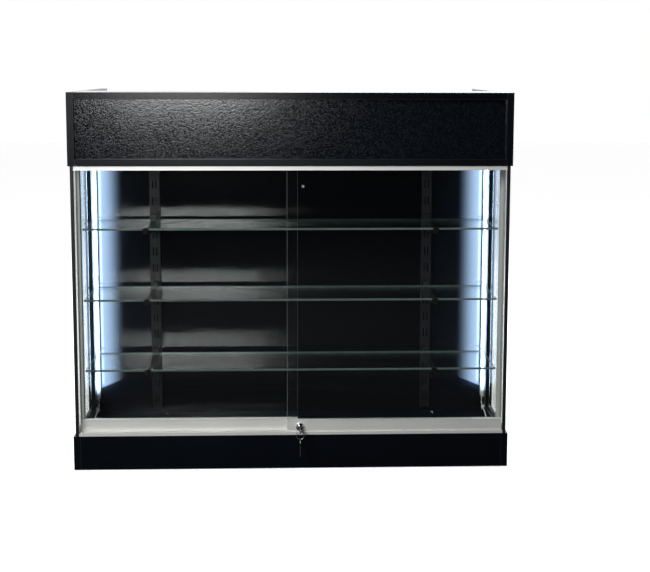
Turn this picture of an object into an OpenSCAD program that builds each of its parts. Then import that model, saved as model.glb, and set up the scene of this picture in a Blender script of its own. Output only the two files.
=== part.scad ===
// Glass display showcase: a 48 inch ledge-top counter with a front display case.
// X runs to the right, the sliding doors face -Y and +Z is up. The origin is on the
// floor, at the middle of the cabinet's width and depth, under the centre glide.

/* [Cabinet] */
// Overall width over the side panels
cabinet_w = 1219; // [1100:1:1300]
// Overall depth of the boards
cabinet_d = 610; // [600:1:640]
// Height of the ledge above the floor
cabinet_h = 1057; // [1040:1:1100]
// Thickness of the cabinet boards
board = 19; // [18:1:20]
// Height of the base, up to the track's seat
base_h = 99; // [95:1:110]
// Height of the display floor above the floor
deck_z = 71; // [66:1:76]
// Gap under the boards, taken up by the glides
floor_gap = 3; // [2:1:5]

/* [Header] */
// Height of the underside of the case top
header_z = 856; // [850:1:870]
// Depth of the raised ledge
ledge_d = 210; // [180:1:230]
// How far the front panel sits back from the board edges
panel_recess = 12; // [6:1:16]
// Thickness of the header's front and rear panels
panel_t = 12; // [9:1:16]

/* [Display] */
// Distance from the cabinet front to the back wall
wall_back = 323; // [315:1:330]
// Thickness of the side glass, the doors and the shelves
glass_t = 6; // [5:1:6]
// Depth of the glass side windows
side_glass_d = 257; // [245:1:260]
// Length of each glass shelf
shelf_l = 1174; // [1150:1:1176]
// Depth of each glass shelf
shelf_d = 203; // [190:1:205]
// Distance from the cabinet front to the shelves' front edges
shelf_back = 85; // [82:1:90]
// Height of the lowest shelf's underside
shelf_z = 261; // [255:1:265]
// Slots between one shelf and the next
shelf_step = 4; // [3:1:4]

/* [Doors] */
// Distance from the cabinet's middle to a door's outer edge
door_edge = 592; // [588:1:592]
// Where the left door's inner edge stands
left_door_end = 17; // [10:1:17]
// Where the right door's inner edge stands
right_door_end = -13; // [-13:1:-8]
// Height of the door shoes
shoe_h = 35.5; // [34:0.5:38]
// Sideways place of the plunger lock
lock_x = 23; // [21:1:26]

/* [Shelf standards] */
// Distance from the cabinet's middle to each standard
standard_x = 410; // [380:1:430]
// Distance from one slot to the next
slot_pitch = 50.8; // [50:0.1:51]
// Height of the lowest slot's centre
slot_z = 115.2; // [112:0.1:118]
// Number of slots in a column
slot_count = 15; // [13:1:15]

/* [Hidden] */
$fn = 48;
half_w = cabinet_w / 2;
inner_x = half_w - board;
front_y = -cabinet_d / 2;
rear_y = cabinet_d / 2;
wall_y = front_y + wall_back;
window_y = front_y + 3 + side_glass_d;
glass_x = half_w - 13.5;
top_z = header_z + board;
ledge_z = cabinet_h - board;
groove = 6;
edge_w = 1.2;
jamb_y = front_y + 39;
jamb_d = 16;
right_y = front_y + 10;
left_y = front_y + 28;
track_d = 36;
track_y = front_y + 2;
track_x = half_w - 15;
track_wall = 1.7;
track_web = 1.5;
track_lip = 8.5;
rib_h = 4.5;
rib_t = 1.5;
shoe_w = 12;
shoe_z = base_h + 6.5;
glass_z = shoe_z + 13.5;
door_top = header_z - 4.5;
roller_r = 7;
roller_groove_r = 6;
roller_gap = 0.3;
roller_z = base_h + rib_h + roller_groove_r + roller_gap;
roller_inset = 60;
axle_r = 1.5;
lock_z = base_h + 21.5;
collar_r = 12.5;
barrel_r = 9;
plunger_r = 6.05;
plug_r = 4;
fit_gap = 0.05;
bow_r = 11;
bow_t = 2.2;
bow_hole_r = 3;
hole_offset = 7;
key_y = right_y - 36;
key_hole_y = key_y - hole_offset;
ring_r = 11;
wire_r = 0.9;
hang_gap = 0.3;
ring_top_z = lock_z - bow_hole_r + wire_r + hang_gap;
ring_z = ring_top_z - ring_r;
ring_low_z = ring_z - ring_r;
spare_hole_z = ring_low_z - bow_hole_r + wire_r + hang_gap;
standard_w = 30;
standard_d = 12;
standard_t = 2;
standard_y = wall_y - standard_d;
shelf_front = front_y + shelf_back;
shelf_rear = shelf_front + shelf_d;
shelf_levels = [for (i = [0:2]) shelf_z + i * shelf_step * slot_pitch];
bracket_w = 14;
tip_d = 16;
led_t = 8;
led_w = 20;
led_y = wall_y - 30;
led_low = 121;
led_high = header_z - 6;
led_wall = 1.2;
lead_d = 3.4;
mains_d = 7;
store_shelf_z = 455;
pin_r = 2.5;
pin_rows = 5;
pin_pitch = 32;
pin_ys = [wall_y + 60, rear_y - 40];
glide_spots = [[-560, -256], [560, -256], [-560, 256], [560, 256], [0, 0]];
track_screw_xs = [-560, -280, 0, 280, 560];
track_screw_y = front_y + 33;
standard_screws = [136, 394.6, 796];
deck_screw_xs = [-379, 433];
inlet_x = -450;
inlet_z = 27;
driver_x = 180;
// Route of the right LED lead, from the light bar down through the deck to the driver
lead_right = [[586, -2, 121], [586, -2, 112], [585.5, -6, 103], [585, -16, 96],
    [585, -32, 92], [585.5, -52, 90], [585.5, -74, 88], [584.5, -92, 85],
    [582, -104, 80], [580, -110, 74], [580, -112, 66], [580, -112, 56],
    [576, -110, 49], [566, -106, 48], [540, -98, 48], [500, -86, 48],
    [450, -72, 48], [400, -58, 46], [350, -44, 43], [310, -32, 40],
    [280, -24, 38], [262, -20, 38]];
// Route of the left LED lead, across under the deck
lead_left = [[-586, -2, 121], [-586, -2, 112], [-585.5, -6, 103], [-585, -16, 96],
    [-585, -32, 92], [-585.5, -52, 90], [-585.5, -74, 88], [-584.5, -92, 85],
    [-582, -104, 80], [-580, -110, 74], [-580, -112, 66], [-580, -112, 56],
    [-576, -110, 49], [-566, -107, 48], [-500, -100, 48], [-400, -92, 48],
    [-300, -84, 48], [-200, -76, 48], [-100, -68, 48], [0, -60, 48],
    [50, -54, 46], [75, -44, 42], [86, -34, 39], [98, -30, 38]];
// Route of the lead from the inlet to the driver
mains_route = [[-450, 271, 27], [-450, 250, 28], [-447, 234, 32], [-440, 218, 38],
    [-425, 200, 42], [-400, 182, 44], [-340, 150, 44], [-270, 118, 44],
    [-190, 88, 44], [-100, 62, 44], [-20, 46, 44], [40, 34, 43],
    [72, 20, 40], [86, 4, 38], [98, 0, 38]];

// A box between two opposite corners
module span(a, b) {
    translate(a)
        cube(b - a);
}

// A board lying between the side panels
module between_sides(y0, y1, z0, z1) {
    span([-inner_x, y0, z0], [inner_x, y1, z1]);
}

// A rod along X, Y or Z
module rod_x(r, x0, x1, y, z) {
    translate([x0, y, z])
        rotate([0, 90, 0])
            cylinder(r = r, h = x1 - x0);
}

module rod_y(r, y0, y1, x, z) {
    translate([x, y1, z])
        rotate([90, 0, 0])
            cylinder(r = r, h = y1 - y0);
}

// A section drawn in Y and Z, run along X
module run_x(x0, x1) {
    translate([x0, 0, 0])
        rotate([90, 0, 90])
            linear_extrude(x1 - x0)
                children();
}

// Anything drawn for the right side, mirrored for the left when s is -1
module on_side(s) {
    if (s > 0)
        children();
    else
        mirror([1, 0, 0])
            children();
}

// A round lead swept along a list of points
module lead(points, d, sides = 8) {
    n = len(points);
    dirs = [for (i = [0:n - 1]) let (t = points[min(i + 1, n - 1)] - points[max(i - 1, 0)])
        t / norm(t)];
    sides_of = [for (t = dirs) let (up = abs(t[2]) > 0.9 ? [0, 1, 0] : [0, 0, 1],
        u = cross(up, t)) u / norm(u)];
    ring_points = [for (i = [0:n - 1]) let (u = sides_of[i], v = cross(dirs[i], u))
        for (k = [0:sides - 1]) let (a = 360 * k / sides)
            points[i] + d / 2 * (cos(a) * u + sin(a) * v)];
    walls = [for (i = [0:n - 2]) for (k = [0:sides - 1]) let (m = (k + 1) % sides)
        [i * sides + k, (i + 1) * sides + k, (i + 1) * sides + m, i * sides + m]];
    start_cap = [for (k = [0:sides - 1]) k];
    end_cap = [for (k = [sides - 1:-1:0]) (n - 1) * sides + k];
    polyhedron(points = ring_points, faces = concat([start_cap, end_cap], walls));
}

// Side board in one piece, cut away where the side glass stands
module side_panel(s) {
    color("#17181a")
        on_side(s)
            difference() {
                span([inner_x, front_y, floor_gap], [half_w, rear_y, cabinet_h]);
                span([inner_x - 1, front_y - 1, base_h], [half_w + 1, window_y, header_z]);
                for (y = pin_ys, k = [0:pin_rows - 1])
                    rod_x(pin_r, inner_x - 1, inner_x + 10, y,
                        store_shelf_z - pin_r + (k - 2) * pin_pitch);
            }
}

module kick_plate() {
    color("#141517")
        between_sides(front_y, front_y + board, floor_gap, base_h);
}

module rear_kick() {
    color("#141517")
        difference() {
            between_sides(rear_y - board, rear_y, floor_gap, deck_z - board);
            span([inlet_x - 14, rear_y - board - 1, inlet_z - 10],
                [inlet_x + 14, rear_y + 1, inlet_z + 10]);
            span([inlet_x - 20, rear_y - 2, inlet_z - 14],
                [inlet_x + 20, rear_y + 1, inlet_z + 14]);
        }
}

// Rail that carries the rear half of the lower track
module track_rail() {
    color("#141517")
        difference() {
            between_sides(front_y + board, front_y + 41, deck_z, base_h);
            for (x = track_screw_xs)
                translate([x, track_screw_y, base_h - 16])
                    cylinder(r = 2, h = 20);
        }
}

module deck() {
    color("#101113")
        difference() {
            between_sides(front_y + board, rear_y, deck_z - board, deck_z);
            for (s = [-1, 1])
                translate([s * 580, -112, deck_z - board - 1])
                    cylinder(r = 4.5, h = board + 2);
            for (x = deck_screw_xs)
                translate([x, wall_y - 18, deck_z - 12])
                    cylinder(r = 2, h = 20);
        }
}

// Top of the case, grooved across for the header's back board
module case_top() {
    color("#17181a")
        difference() {
            between_sides(front_y, rear_y, header_z, top_z);
            span([-half_w, front_y + ledge_d - panel_t, top_z - groove],
                [half_w, front_y + ledge_d, top_z + 1]);
        }
}

module ledge_top() {
    color("#1b1c1e")
        between_sides(front_y, front_y + ledge_d, ledge_z, cabinet_h);
}

module header_panel() {
    color("#202124")
        between_sides(front_y + panel_recess, front_y + panel_recess + panel_t, top_z, ledge_z);
}

module header_back() {
    color("#1b1c1e")
        between_sides(front_y + ledge_d - panel_t, front_y + ledge_d, top_z - groove, ledge_z);
}

module back_wall() {
    color("#0e0f11")
        difference() {
            between_sides(wall_y, wall_y + board, deck_z, header_z);
            for (s = [-1, 1], z = standard_screws)
                rod_y(2, wall_y - 1, wall_y + 12, s * standard_x, z);
            rod_y(2, wall_y - 1, wall_y + 12, 36, 768);
        }
}

// Round feet on threaded stems
module levelling_glides() {
    color("#2b2c2e")
        for (p = glide_spots)
            translate([p[0], p[1], 0]) {
                cylinder(r1 = 17, r2 = 19, h = 2);
                translate([0, 0, 2])
                    cylinder(r1 = 19, r2 = 12, h = 5);
                translate([0, 0, 7])
                    cylinder(r = 4, h = 41);
            }
}

// Blocks under the deck that hold the glides' stems
module glide_blocks() {
    color("#8a6d4a")
        for (p = glide_spots)
            difference() {
                span([p[0] - 30, p[1] - 30, 22], [p[0] + 30, p[1] + 30, deck_z - board]);
                translate([p[0], p[1], 0])
                    cylinder(r = 4.1, h = deck_z);
            }
}

module storage_shelf() {
    color("#1b1c1e")
        span([-inner_x + 1.5, wall_y + board + 2, store_shelf_z],
            [inner_x - 1.5, rear_y - 9, store_shelf_z + board]);
}

module shelf_pins() {
    color("#b7b9bb")
        for (s = [-1, 1], y = pin_ys)
            on_side(s) {
                rod_x(pin_r - 0.05, inner_x, inner_x + 9.5, y, store_shelf_z - pin_r);
                rod_x(pin_r - 0.05, inner_x - 9, inner_x, y, store_shelf_z - pin_r);
            }
}

module side_glass(s) {
    color("#cfe6dd", 0.4)
        on_side(s)
            span([glass_x, front_y + 3, base_h], [glass_x + glass_t, window_y, header_z]);
}

// Black channel that wraps the front edge of the side glass
module glass_edge(s) {
    color("#0b0b0c")
        on_side(s)
            difference() {
                span([glass_x - edge_w, front_y, base_h],
                    [glass_x + glass_t + edge_w, front_y + 11, header_z]);
                span([glass_x, front_y + 3, base_h - 1],
                    [glass_x + glass_t, front_y + 12, header_z + 1]);
            }
}

// Jamb strip behind the doors' outer edges
module jamb(s) {
    color("#c3c6c8")
        on_side(s) {
            span([glass_x - 4.5, jamb_y, base_h], [glass_x, jamb_y + jamb_d, header_z]);
            span([glass_x - 12, jamb_y + jamb_d - 2, base_h],
                [glass_x - 4.5, jamb_y + jamb_d, header_z]);
        }
}

module jamb_seals() {
    color("#121314")
        for (s = [-1, 1])
            on_side(s)
                span([glass_x - 11, jamb_y + 1, base_h],
                    [glass_x - 4.5, jamb_y + jamb_d - 2, header_z]);
}

// Top track: two channels that guide the doors' top edges
module upper_track() {
    color("#cdd0d2")
        run_x(-track_x, track_x) {
            translate([track_y, header_z - track_web])
                square([track_d, track_web]);
            for (y = [0, 15.8, track_d - track_wall])
                translate([track_y + y, header_z - 11.5])
                    square([y == 15.8 ? 1.4 : track_wall, 11.5 - track_web]);
        }
}

// Bottom track: a front lip, a rear lip and a rib for each door's rollers
module lower_track() {
    color("#c3c6c8")
        difference() {
            run_x(-track_x, track_x) {
                translate([track_y, base_h])
                    square([track_d, track_web]);
                translate([track_y, base_h + track_web])
                    square([track_wall, track_lip - track_web]);
                translate([track_y + track_d - track_wall, base_h + track_web])
                    square([track_wall, 5 - track_web]);
                for (y = [right_y, left_y])
                    translate([y - rib_t / 2, base_h + track_web])
                        square([rib_t, rib_h - track_web]);
            }
            for (x = track_screw_xs)
                translate([x, track_screw_y, base_h - 1])
                    cylinder(r = 2, h = 4);
        }
}

module track_screws() {
    color("#9b9ea0")
        for (x = track_screw_xs)
            translate([x, track_screw_y, base_h - 14]) {
                cylinder(r = 1.9, h = 14 + track_web);
                translate([0, 0, 14 + track_web])
                    cylinder(r = 3, h = 1.3);
            }
}

// Door glass from its inner edge to its outer edge
module door_glass(x0, x1, y) {
    span([x0, y - glass_t / 2, glass_z], [x1, y + glass_t / 2, door_top]);
}

// Door shoe: a slot for the glass above, a roller bay below
module door_shoe(x0, x1, y, roller_xs) {
    difference() {
        run_x(x0, x1)
            difference() {
                translate([y - shoe_w / 2, shoe_z])
                    square([shoe_w, shoe_h]);
                translate([y - glass_t / 2, glass_z])
                    square([glass_t, shoe_h]);
                translate([y - 4.2, shoe_z - 1])
                    square([8.4, 13]);
                translate([y - shoe_w / 2 - 1, shoe_z + 5])
                    square([1.6, shoe_h - 8.5]);
            }
        for (x = roller_xs)
            rod_y(axle_r + 0.02, y - 4.9, y + 4.9, x, roller_z);
    }
}

// Grooved roller that straddles the track's rib
module roller(x, y) {
    color("#e6e4dc")
        translate([x, y, roller_z])
            rotate([90, 0, 0])
                difference() {
                    rotate_extrude()
                        polygon([[0, -3], [roller_r, -3], [roller_r, -1.6],
                            [roller_groove_r, -1.15], [roller_groove_r, 1.15],
                            [roller_r, 1.6], [roller_r, 3], [0, 3]]);
                    cylinder(r = axle_r + fit_gap, h = 10, center = true);
                }
}

module roller_axles(xs, y) {
    color("#8f9294")
        for (x = xs)
            rod_y(axle_r, y - 4.8, y + 4.8, x, roller_z);
}

left_roller_xs = [-door_edge + roller_inset, left_door_end - roller_inset];
right_roller_xs = [door_edge - roller_inset, right_door_end + 2 * roller_inset];

module left_door_glass() {
    color("#d5eae2", 0.3)
        door_glass(-door_edge, left_door_end, left_y);
}

module left_door_shoe() {
    color("#c3c6c8")
        door_shoe(-door_edge, left_door_end, left_y, left_roller_xs);
}

// The right glass has a notch in its lower edge for the lock's barrel
module right_door_glass() {
    color("#d5eae2", 0.3)
        difference() {
            door_glass(right_door_end, door_edge, right_y);
            rod_y(barrel_r + 1.5, right_y - glass_t, right_y + glass_t, lock_x, lock_z);
        }
}

module right_door_shoe() {
    color("#c3c6c8")
        difference() {
            door_shoe(right_door_end, door_edge, right_y, right_roller_xs);
            rod_y(barrel_r, right_y - shoe_w, right_y + shoe_w, lock_x, lock_z);
            rod_y(collar_r + 0.3, right_y - shoe_w, right_y - shoe_w / 2 + 0.6,
                lock_x, lock_z);
        }
}

// A turned piece on the lock's axis, its outline given as radius and y
module turned(outline) {
    translate([lock_x, 0, lock_z])
        rotate([-90, 0, 0])
            rotate_extrude()
                polygon(outline);
}

// Fixed body of the plunger lock
module lock_collar() {
    face = right_y - shoe_w / 2;
    bore = plunger_r + fit_gap;
    color("#d8dadc")
        turned([[bore, face - 6], [bore + 2, face - 7], [collar_r - 3, face - 5.6],
            [collar_r - 0.8, face - 3.4], [collar_r, face - 1], [collar_r, face + 0.6],
            [barrel_r, face + 0.6], [barrel_r, face + shoe_w], [bore, face + shoe_w]]);
}

// Plunger that is pushed in to lock the doors
module lock_plunger() {
    front = right_y - 19;
    bore = plug_r + fit_gap;
    color("#caccce")
        turned([[bore, front], [plunger_r - 0.8, front], [plunger_r, front + 0.8],
            [plunger_r, right_y + 4], [0, right_y + 4], [0, right_y + 1],
            [bore, right_y + 1]]);
}

// Plug that turns with the key, slotted for its blade
module key_plug() {
    color("#b9a267")
        difference() {
            rod_y(plug_r, right_y - 19.4, right_y + 0.6, lock_x, lock_z);
            span([lock_x - 1, right_y - 20, lock_z - 3.2],
                [lock_x + 1, right_y - 2, lock_z + 3.2]);
        }
}

// A key lying in the YZ plane: bow at the origin, blade along +Y
module key_shape(blade) {
    rotate([90, 0, 90])
        translate([0, 0, -bow_t / 2])
            linear_extrude(bow_t)
                difference() {
                    union() {
                        circle(r = bow_r);
                        translate([0, -4.5])
                            square([bow_r + 5, 9]);
                    }
                    translate([-hole_offset, 0])
                        circle(r = bow_hole_r);
                }
    translate([-0.9, bow_r + 5, -3])
        cube([1.8, blade, 6]);
}

module door_key() {
    color("#c9ccce")
        translate([lock_x, key_y, lock_z])
            key_shape(16);
}

module key_ring() {
    color("#d4d6d8")
        translate([lock_x, key_hole_y, ring_z])
            rotate([90, 0, 0])
                rotate_extrude()
                    translate([ring_r, 0])
                        circle(r = wire_r, $fn = 24);
}

// The second key hangs straight down from the ring
module spare_key() {
    color("#c9ccce")
        translate([lock_x, key_hole_y, spare_hole_z - hole_offset])
            rotate([-90, 0, 0])
                key_shape(24);
}

// Slotted standard: a shallow channel with two columns of slots
module standard(s) {
    color("#131416")
        translate([s * standard_x, 0, 0])
            difference() {
                span([-standard_w / 2, standard_y, 85], [standard_w / 2, wall_y, header_z - 11]);
                span([-standard_w / 2 + standard_t, standard_y + standard_t, 84],
                    [standard_w / 2 - standard_t, wall_y + 1, header_z]);
                for (k = [0:slot_count - 1], c = [-5, 5])
                    span([c - 1.5, standard_y - 1, slot_z + k * slot_pitch - 12.5],
                        [c + 1.5, standard_y + 3, slot_z + k * slot_pitch + 12.5]);
                for (z = standard_screws)
                    rod_y(2, standard_y - 1, standard_y + 3, 0, z);
            }
}

// Screws in the standards, one in the wall and two in the deck
module wall_screws() {
    color("#b4b6b8") {
        for (s = [-1, 1], z = standard_screws) {
            rod_y(1.9, standard_y, wall_y + 10, s * standard_x, z);
            rod_y(3.6, standard_y - 1.6, standard_y, s * standard_x, z);
        }
        rod_y(1.9, wall_y, wall_y + 10, 36, 768);
        rod_y(4.2, wall_y - 2, wall_y, 36, 768);
        for (x = deck_screw_xs)
            translate([x, wall_y - 18, deck_z - 10]) {
                cylinder(r = 1.9, h = 10);
                translate([0, 0, 10])
                    cylinder(r = 4.2, h = 1.6);
            }
    }
}

// Folded shelf bracket: web under the glass, two cheeks, a foot and hooks
module bracket(s, z) {
    tip_y = shelf_front + 8;
    foot_y = standard_y - 2;
    translate([s * standard_x, 0, z]) {
        difference() {
            run_x(-bracket_w / 2, bracket_w / 2)
                polygon([[foot_y, -34], [foot_y, 16], [shelf_rear + 5, 16],
                    [shelf_rear + 3, 0], [tip_y, 0], [tip_y, -10]]);
            run_x(-bracket_w / 2 + 2, bracket_w / 2 - 2)
                polygon([[foot_y + 1, -36], [foot_y + 1, -2], [tip_y + 3, -2],
                    [tip_y + 3, -14]]);
        }
        span([-11, foot_y, -34], [11, standard_y, 16]);
        for (c = [-5, 5]) {
            span([c - 1, standard_y, -2], [c + 1, standard_y + 2, 15]);
            span([c - 1, standard_y + 2, -12], [c + 1, standard_y + 4.5, 15]);
        }
    }
}

module bracket_pair(level) {
    color("#131416")
        for (s = [-1, 1])
            bracket(s, shelf_levels[level]);
}

// Rubber tips that cap the brackets and stop the glass sliding forward
module bracket_tips() {
    color("#0c0c0d")
        for (s = [-1, 1], z = shelf_levels)
            translate([s * standard_x, 0, z])
                difference() {
                    intersection() {
                        rod_y(9.5, shelf_front - 8, shelf_front + 8, 0, -1);
                        span([-8.5, shelf_front - 8, -10.5], [8.5, shelf_front + 8, 8.5]);
                    }
                    span([-10, shelf_front, 0], [10, shelf_front + 10, 10]);
                }
}

module glass_shelf(level) {
    color("#cfe8de", 0.4)
        span([-shelf_l / 2, shelf_front, shelf_levels[level]],
            [shelf_l / 2, shelf_rear, shelf_levels[level] + glass_t]);
}

// Light bar body: a shallow channel on the side panel, open towards the middle
module led_channel(s) {
    color("#b9bcbe")
        on_side(s)
            difference() {
                span([inner_x - led_t, led_y, led_low], [inner_x, led_y + led_w, led_high]);
                span([inner_x - led_t - 1, led_y + led_wall, led_low - 1],
                    [inner_x - led_wall, led_y + led_w - led_wall, led_high + 1]);
            }
}

module led_diffusers() {
    color("#eef4ff")
        for (s = [-1, 1])
            on_side(s)
                span([inner_x - led_t, led_y + led_wall, led_low + 9],
                    [inner_x - led_t + 1.5, led_y + led_w - led_wall, led_high - 1]);
}

module led_boards() {
    color("#f2f2ee")
        for (s = [-1, 1])
            on_side(s)
                span([inner_x - led_wall - 1.2, led_y + 3, led_low + 6],
                    [inner_x - led_wall, led_y + led_w - 3, led_high - 4]);
}

module led_lead_left() {
    color("#d9dadb")
        lead(lead_left, lead_d);
}

module led_lead_right() {
    color("#d9dadb")
        lead(lead_right, lead_d);
}

// Supply for the light bars, screwed under the deck
module led_driver() {
    color("#e4e4e0")
        span([driver_x - 82, -50, 24], [driver_x + 82, 10, deck_z - board]);
}

// Appliance inlet let into the rear kick board
module power_inlet() {
    color("#1a1a1b")
        difference() {
            union() {
                span([inlet_x - 20, rear_y - 2, inlet_z - 14], [inlet_x + 20, rear_y, inlet_z + 14]);
                span([inlet_x - 14, rear_y - 34, inlet_z - 10],
                    [inlet_x + 14, rear_y - 2, inlet_z + 10]);
            }
            difference() {
                span([inlet_x - 12, rear_y - 16, inlet_z - 8],
                    [inlet_x + 12, rear_y + 1, inlet_z + 8]);
                span([inlet_x - 9, rear_y - 17, inlet_z - 5],
                    [inlet_x + 9, rear_y - 1, inlet_z + 5]);
            }
        }
}

module driver_lead() {
    color("#19191a")
        lead(mains_route, mains_d, 10);
}

side_panel(-1);  // side_panel_left
side_panel(1);  // side_panel_right
kick_plate();
rear_kick();
track_rail();
deck();
case_top();
ledge_top();
header_panel();
header_back();
back_wall();
levelling_glides();
glide_blocks();
storage_shelf();
shelf_pins();
side_glass(-1);  // side_glass_left
side_glass(1);  // side_glass_right
glass_edge(-1);  // glass_edge_left
glass_edge(1);  // glass_edge_right
jamb(-1);  // jamb_left
jamb(1);  // jamb_right
jamb_seals();
upper_track();
lower_track();
track_screws();
left_door_glass();
left_door_shoe();
right_door_glass();
right_door_shoe();
roller(left_roller_xs[0], left_y);  // left_roller_outer
roller(left_roller_xs[1], left_y);  // left_roller_inner
roller(right_roller_xs[0], right_y);  // right_roller_outer
roller(right_roller_xs[1], right_y);  // right_roller_inner
roller_axles(left_roller_xs, left_y);  // left_roller_axles
roller_axles(right_roller_xs, right_y);  // right_roller_axles
lock_collar();
lock_plunger();
key_plug();
door_key();
key_ring();
spare_key();
standard(-1);  // standard_left
standard(1);  // standard_right
wall_screws();
bracket_pair(2);  // brackets_upper
bracket_pair(1);  // brackets_middle
bracket_pair(0);  // brackets_lower
bracket_tips();
glass_shelf(2);  // glass_shelf_upper
glass_shelf(1);  // glass_shelf_middle
glass_shelf(0);  // glass_shelf_lower
led_channel(-1);  // led_channel_left
led_channel(1);  // led_channel_right
led_diffusers();
led_boards();
led_lead_left();
led_lead_right();
led_driver();
power_inlet();
driver_lead();
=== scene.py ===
import math

import bmesh
import bpy
from bpy.props import FloatProperty, FloatVectorProperty, PointerProperty
from mathutils import Matrix, Vector


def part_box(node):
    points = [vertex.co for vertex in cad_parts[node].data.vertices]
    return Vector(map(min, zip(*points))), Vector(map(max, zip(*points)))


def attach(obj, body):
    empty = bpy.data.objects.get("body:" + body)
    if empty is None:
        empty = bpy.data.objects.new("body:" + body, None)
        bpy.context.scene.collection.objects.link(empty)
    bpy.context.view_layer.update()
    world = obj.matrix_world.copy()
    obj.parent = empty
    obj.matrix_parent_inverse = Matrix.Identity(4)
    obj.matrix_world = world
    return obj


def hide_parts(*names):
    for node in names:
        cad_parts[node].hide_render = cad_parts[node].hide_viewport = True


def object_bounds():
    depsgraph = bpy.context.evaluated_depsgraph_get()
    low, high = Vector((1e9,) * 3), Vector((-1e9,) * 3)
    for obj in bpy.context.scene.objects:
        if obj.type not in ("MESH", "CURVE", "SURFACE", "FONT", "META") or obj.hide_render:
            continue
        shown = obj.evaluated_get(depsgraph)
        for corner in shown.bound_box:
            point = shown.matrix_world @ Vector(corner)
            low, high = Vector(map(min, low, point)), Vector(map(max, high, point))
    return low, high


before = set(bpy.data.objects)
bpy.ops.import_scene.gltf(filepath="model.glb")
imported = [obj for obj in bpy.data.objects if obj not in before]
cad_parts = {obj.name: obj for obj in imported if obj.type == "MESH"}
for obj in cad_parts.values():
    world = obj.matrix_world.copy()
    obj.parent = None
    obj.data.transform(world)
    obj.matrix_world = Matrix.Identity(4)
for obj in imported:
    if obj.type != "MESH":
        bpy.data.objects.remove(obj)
CAD_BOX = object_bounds()

bl_info = {
    "name": "Glass display showcase",
    "version": (1, 0, 0),
    "blender": (4, 5, 0),
    "location": "View3D > Sidebar > Showcase",
    "description": "Finishes and details for a glass display showcase",
    "category": "Object",
}

SIDES = {"left": -1, "right": 1}
DIODE_PITCH = 0.0166
# Pale grey for dust, and for board edges painted lighter as wear and as a painted highlight
PALE_DUST_AND_SHEEN = (0.05, 0.052, 0.056)
WHITE = (1, 1, 1, 1)


# Sizes and colours


class BoardSettings(bpy.types.PropertyGroup):
    """Laminate boards of the cabinet"""

    laminate_colour: FloatVectorProperty(
        name="Laminate colour", description="Colour of the smooth black boards",
        default=(0.0014, 0.0024, 0.0044), subtype="COLOR", size=3, min=0, max=1)
    pebble_colour: FloatVectorProperty(
        name="Header colour", description="Colour of the pebbled header panel",
        default=(0.0022, 0.0034, 0.0056), subtype="COLOR", size=3, min=0, max=1)
    wall_colour: FloatVectorProperty(
        name="Wall colour", description="Colour of the board behind the shelves",
        default=(0.0026, 0.0036, 0.0052), subtype="COLOR", size=3, min=0, max=1)
    pebble_size: FloatProperty(
        name="Pebble size", description="Width of one pebble in the header's surface",
        default=0.0034, unit="LENGTH", min=0.0005, max=0.01)
    # Width of the paler line along each board's edges: rubbed wear, and a painted highlight where
    # the edge catches light
    edge_wear_and_sheen: FloatProperty(
        name="Edge wear", description="Width of the rubbed line along a board's edges",
        default=0.0014, unit="LENGTH", min=0.0002, max=0.01)


class GlassSettings(bpy.types.PropertyGroup):
    """Side panes, doors and shelves"""

    tint: FloatVectorProperty(
        name="Tint", description="Light that each face of the glass lets through",
        default=(0.968, 0.982, 0.974), subtype="COLOR", size=3, min=0, max=1)
    edge_colour: FloatVectorProperty(
        name="Edge colour", description="Colour seen in the polished edges",
        default=(0.12, 0.155, 0.145), subtype="COLOR", size=3, min=0, max=1)
    arris: FloatProperty(
        name="Arris", description="Width of the ground corner along the edges",
        default=0.0007, unit="LENGTH", min=0.0001, max=0.002)


class MetalSettings(bpy.types.PropertyGroup):
    """Tracks, shoes, standards and screws"""

    aluminium_colour: FloatVectorProperty(
        name="Aluminium colour", description="Colour of the satin extrusions",
        default=(0.80, 0.80, 0.775), subtype="COLOR", size=3, min=0, max=1)
    steel_colour: FloatVectorProperty(
        name="Powder coat colour", description="Colour of the standards and brackets",
        default=(0.004, 0.0045, 0.0055), subtype="COLOR", size=3, min=0, max=1)
    recess_depth: FloatProperty(
        name="Recess depth", description="Depth of the cross in a screw's head",
        default=0.0011, unit="LENGTH", min=0.0002, max=0.003)


class LampSettings(bpy.types.PropertyGroup):
    """Light bars and what feeds them"""

    colour: FloatVectorProperty(
        name="Light colour", description="Colour of the light bars' light",
        default=(0.70, 0.84, 1.0), subtype="COLOR", size=3, min=0, max=1)
    glow_colour: FloatVectorProperty(
        name="Glow colour", description="Colour of the light that the bars throw",
        default=(0.50, 0.70, 1.0), subtype="COLOR", size=3, min=0, max=1)
    strength: FloatProperty(
        name="Light strength", description="Brightness of the light bars' lenses",
        default=0.6, min=0, max=500)
    glow_power: FloatProperty(
        name="Glow power", description="Power of the light that each bar throws on the wall",
        default=2.0, unit="POWER", min=0, max=200)
    bar_power: FloatProperty(
        name="Bar power", description="Power of the light that falls back on each bar",
        default=0.2, unit="POWER", min=0, max=200)
    strip_width: FloatProperty(
        name="Strip width", description="Width of one step of the glow beside a bar",
        default=0.0060, unit="LENGTH", min=0.001, max=0.05)
    throw_power: FloatProperty(
        name="Throw power", description="Power of the light that each bar throws on the shelves",
        default=0.9, unit="POWER", min=0, max=200)
    clip_width: FloatProperty(
        name="Clip width", description="Width of the clips that hold the leads",
        default=0.009, unit="LENGTH", min=0.003, max=0.02)


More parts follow.
